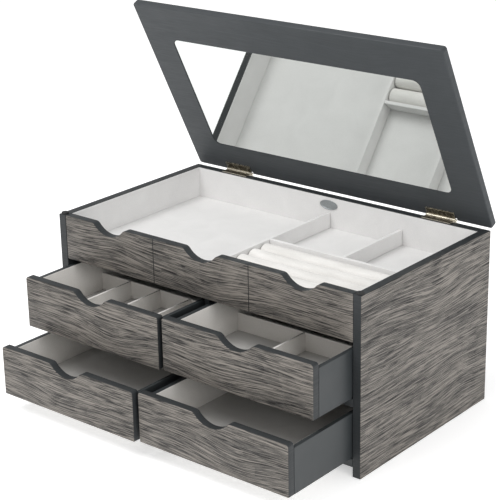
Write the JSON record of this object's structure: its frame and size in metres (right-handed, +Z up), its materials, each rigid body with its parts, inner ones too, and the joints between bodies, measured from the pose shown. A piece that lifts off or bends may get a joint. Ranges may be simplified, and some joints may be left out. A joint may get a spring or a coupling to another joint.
{
  "type": "jewelry box",
  "caption": "Countertop jewelry box: mirrored lid on rear hinges, felt-lined divided top tray with ring rolls, and pull-out drawers with scalloped finger notches.",
  "frame": {"origin": "on the table, under the middle of the whole box as it stands with its lid up and its drawers part out", "axes": "+X to the right as seen from the front, +Y to the back, +Z up; the drawers pull out along -Y and the lid's hinge line is along X"},
  "size_m": [0.4, 0.3416, 0.4016],
  "materials": {
    "wood_grain": "grey wood-grain veneer, satin",
    "charcoal_paint": "satin charcoal paint on fibreboard",
    "white_lining": "matt white flocked felt",
    "lined_board": "thin board covered in matt white flocked felt",
    "ring_roll_cloth": "white velvet over soft padding",
    "mirror_glass": "silvered glass",
    "aged_brass": "antique brass",
    "badge_metal": "dull pewter grey",
    "black_rubber": "matt black"
  },
  "bodies": {
    "case": {"side_panel_left": "wood_grain", "side_panel_right": "wood_grain", "back_panel": "charcoal_paint", "base_board": "charcoal_paint", "shelf_board": "charcoal_paint", "tray_floor_board": "charcoal_paint", "centre_divider_upper": "charcoal_paint", "centre_divider_lower": "charcoal_paint", "tray_front_board": "wood_grain", "tray_floor_lining": "white_lining", "tray_wall_lining": "white_lining", "tray_main_divider": "lined_board", "tray_cross_divider": "lined_board", "tray_rear_divider": "lined_board", "ring_roll_1": "ring_roll_cloth", "ring_roll_2": "ring_roll_cloth", "ring_roll_3": "ring_roll_cloth", "ring_roll_4": "ring_roll_cloth", "ring_roll_5": "ring_roll_cloth", "badge_plate": "badge_metal", "bumper_left": "black_rubber", "bumper_right": "black_rubber", "hinge_base_leaf_left": "aged_brass", "hinge_base_leaf_right": "aged_brass", "hinge_pin_left": "aged_brass", "hinge_pin_right": "aged_brass", "screw_base_left_1": "aged_brass", "screw_base_left_2": "aged_brass", "screw_base_right_1": "aged_brass", "screw_base_right_2": "aged_brass"},
    "lid": {"lid_panel": "charcoal_paint", "lid_mirror": "mirror_glass", "hinge_lid_leaf_left": "aged_brass", "hinge_lid_leaf_right": "aged_brass", "screw_lid_left_1": "aged_brass", "screw_lid_left_2": "aged_brass", "screw_lid_right_1": "aged_brass", "screw_lid_right_2": "aged_brass"},
    "drawer_middle_left": {"middle_left_front": "wood_grain", "middle_left_wall_outer": "charcoal_paint", "middle_left_wall_inner": "charcoal_paint", "middle_left_back": "charcoal_paint", "middle_left_floor": "lined_board", "middle_left_compartments": "lined_board"},
    "drawer_middle_right": {"middle_right_front": "wood_grain", "middle_right_wall_outer": "charcoal_paint", "middle_right_wall_inner": "charcoal_paint", "middle_right_back": "charcoal_paint", "middle_right_floor": "lined_board", "middle_right_compartments": "lined_board"},
    "drawer_bottom_left": {"bottom_left_front": "wood_grain", "bottom_left_wall_outer": "charcoal_paint", "bottom_left_wall_inner": "charcoal_paint", "bottom_left_back": "charcoal_paint", "bottom_left_floor": "lined_board"},
    "drawer_bottom_right": {"bottom_right_front": "wood_grain", "bottom_right_wall_outer": "charcoal_paint", "bottom_right_wall_inner": "charcoal_paint", "bottom_right_back": "charcoal_paint", "bottom_right_floor": "lined_board"}
  },
  "joints": [
    {"name": "lid_hinge", "type": "hinge", "parent": "case", "child": "lid", "pos_m": [0, 0.16242, 0.1922], "axis": [-1, 0, 0], "range_deg": [-63.3, 31.7]},
    {"name": "middle_left_slide", "type": "slide", "parent": "case", "child": "drawer_middle_left", "axis": [0, -1, 0], "range_m": [-0.063, 0.097]},
    {"name": "middle_right_slide", "type": "slide", "parent": "case", "child": "drawer_middle_right", "axis": [0, -1, 0], "range_m": [-0.061, 0.099]},
    {"name": "bottom_left_slide", "type": "slide", "parent": "case", "child": "drawer_bottom_left", "axis": [0, -1, 0], "range_m": [-0.103, 0.057]},
    {"name": "bottom_right_slide", "type": "slide", "parent": "case", "child": "drawer_bottom_right", "axis": [0, -1, 0], "range_m": [-0.099, 0.061]}
  ]
}
